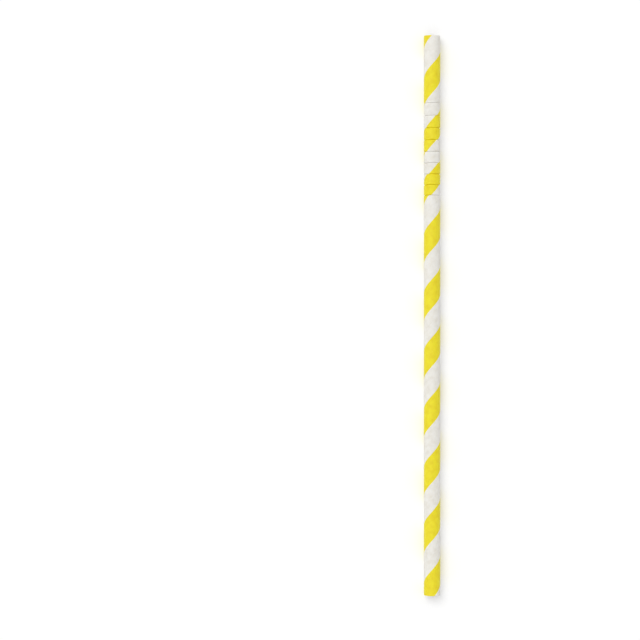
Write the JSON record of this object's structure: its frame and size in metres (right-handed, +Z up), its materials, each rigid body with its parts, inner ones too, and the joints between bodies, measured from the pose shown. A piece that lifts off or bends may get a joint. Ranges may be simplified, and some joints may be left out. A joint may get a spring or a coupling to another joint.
{
  "type": "paper drinking straw",
  "caption": "Round paper tube for drinking through, open at both ends, with a band of pressed ring folds near one end so that it can be bent.",
  "frame": {"origin": "on the surface that the straw lies on, under the middle of its length, in the middle of its narrow flat underside", "axes": "+Y along the straw towards the drinking end, where the folds are; +Z up from the surface; +X across the straw"},
  "size_m": [0.006, 0.204, 0.0059],
  "materials": {
    "wound_paper": "matte"
  },
  "bodies": {
    "root": {"paper_straw": "wound_paper"}
  },
  "joints": []
}
